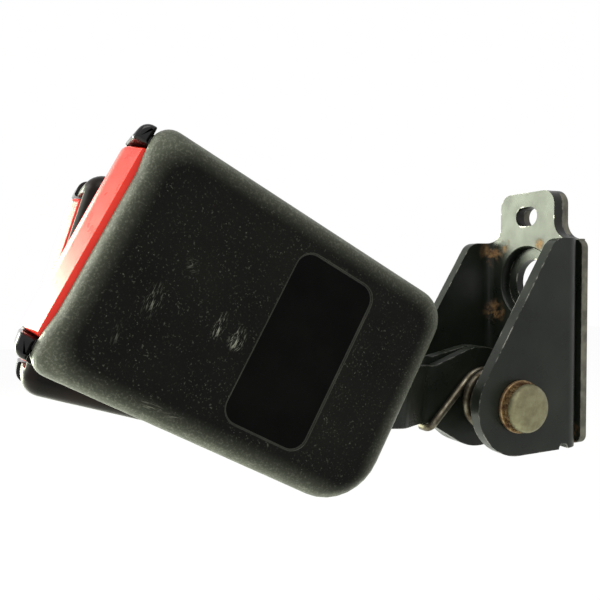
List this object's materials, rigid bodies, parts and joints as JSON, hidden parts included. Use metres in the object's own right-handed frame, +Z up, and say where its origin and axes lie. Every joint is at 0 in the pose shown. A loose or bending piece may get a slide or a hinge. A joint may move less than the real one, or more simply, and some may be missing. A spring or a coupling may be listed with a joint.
{
  "type": "seat belt buckle",
  "caption": "Twin seat belt buckle on a common anchor bracket, with sprung swinging arms and end-release buttons that each hold a belt tongue.",
  "frame": {"origin": "centre of the anchor bolt's bore, on the face that seats on the car body", "axes": "+X into the car body along the anchor bolt, +Y along the pivot pin from the front buckle to the rear one, +Z up; the buckles reach out along -X"},
  "size_m": [0.1389, 0.0528, 0.0748],
  "materials": {
    "steel_black": "satin black paint over steel",
    "plastic_black": "fine grained matte black",
    "plastic_gloss": "smooth glossy black",
    "plastic_red": "smooth red",
    "zinc_yellow": "yellow passivated zinc",
    "steel_spring": "drawn spring wire",
    "steel_bright": "pressed steel",
    "nylon_black": "moulded nylon",
    "acetal_white": "moulded natural acetal"
  },
  "bodies": {
    "bracket": {"bracket": "steel_black", "backing_plate": "steel_black", "pivot_pin": "zinc_yellow", "toothed_washer": "zinc_yellow", "pin_washers": "zinc_yellow", "centre_washer": "nylon_black", "front_bush": "nylon_black", "rear_bush": "nylon_black"},
    "front_buckle": {"front_arm": "steel_black", "front_torsion_spring": "steel_spring", "front_outer_cover": "plastic_black", "front_inner_cover": "plastic_black", "front_mouth_guide": "plastic_gloss", "front_latch_frame": "steel_bright", "front_rivets": "steel_bright", "front_button_springs": "steel_spring", "front_ejector_spring": "steel_spring", "front_latch_spring": "steel_spring"},
    "front_button": {"front_release_button": "plastic_red"},
    "front_latch_plate": {"front_latch": "steel_bright"},
    "front_ejector_slide": {"front_ejector": "acetal_white"},
    "rear_buckle": {"rear_arm": "steel_black", "rear_torsion_spring": "steel_spring", "rear_outer_cover": "plastic_black", "rear_inner_cover": "plastic_black", "rear_mouth_guide": "plastic_gloss", "rear_latch_frame": "steel_bright", "rear_rivets": "steel_bright", "rear_button_springs": "steel_spring", "rear_ejector_spring": "steel_spring", "rear_latch_spring": "steel_spring"},
    "rear_button": {"rear_release_button": "plastic_red"},
    "rear_latch_plate": {"rear_latch": "steel_bright"},
    "rear_ejector_slide": {"rear_ejector": "acetal_white"}
  },
  "joints": [
    {"name": "front_arm_hinge", "type": "hinge", "parent": "bracket", "child": "front_buckle", "pos_m": [-0.0242, 0, -0.0304], "axis": [0, 1, 0], "range_deg": [-60, 45], "stiffness_Nm_per_rad": 0.6, "springref_deg": 6.59, "deforming": ["front_torsion_spring"]},
    {"name": "front_button_press", "type": "slide", "parent": "front_buckle", "child": "front_button", "axis": [0.8712, 0, -0.4909], "range_m": [0, 0.005], "stiffness_N_per_m": 800, "springref_m": -0.002, "deforming": ["front_button_springs"]},
    {"name": "front_ejector_travel", "type": "slide", "parent": "front_buckle", "child": "front_ejector_slide", "axis": [0.8712, 0, -0.4909], "range_m": [0, 0.01], "stiffness_N_per_m": 250, "springref_m": -0.004, "deforming": ["front_ejector_spring"]},
    {"name": "front_latch_hinge", "type": "hinge", "parent": "front_buckle", "child": "front_latch_plate", "pos_m": [-0.08496, -0.015, -0.01342], "axis": [0.4909, 0, 0.8712], "range_deg": [-13, 0], "deforming": ["front_latch_spring"]},
    {"name": "rear_arm_hinge", "type": "hinge", "parent": "bracket", "child": "rear_buckle", "pos_m": [-0.0242, 0, -0.0304], "axis": [0, 1, 0], "range_deg": [-60, 45], "stiffness_Nm_per_rad": 0.6, "springref_deg": 6.59, "deforming": ["rear_torsion_spring"]},
    {"name": "rear_button_press", "type": "slide", "parent": "rear_buckle", "child": "rear_button", "axis": [0.9472, 0, -0.3206], "range_m": [0, 0.005], "stiffness_N_per_m": 800, "springref_m": -0.002, "deforming": ["rear_button_springs"]},
    {"name": "rear_ejector_travel", "type": "slide", "parent": "rear_buckle", "child": "rear_ejector_slide", "axis": [0.9472, 0, -0.3206], "range_m": [0, 0.01], "stiffness_N_per_m": 250, "springref_m": -0.004, "deforming": ["rear_ejector_spring"]},
    {"name": "rear_latch_hinge", "type": "hinge", "parent": "rear_buckle", "child": "rear_latch_plate", "pos_m": [-0.08453, 0.015, -0.01314], "axis": [-0.3206, 0, -0.9472], "range_deg": [-13, 0], "deforming": ["rear_latch_spring"]}
  ],
  "couplings": [
    {"joint": "front_latch_hinge", "follows": "front_ejector_travel", "rad_per_m": -22.689},
    {"joint": "rear_latch_hinge", "follows": "rear_ejector_travel", "rad_per_m": -22.689}
  ]
}
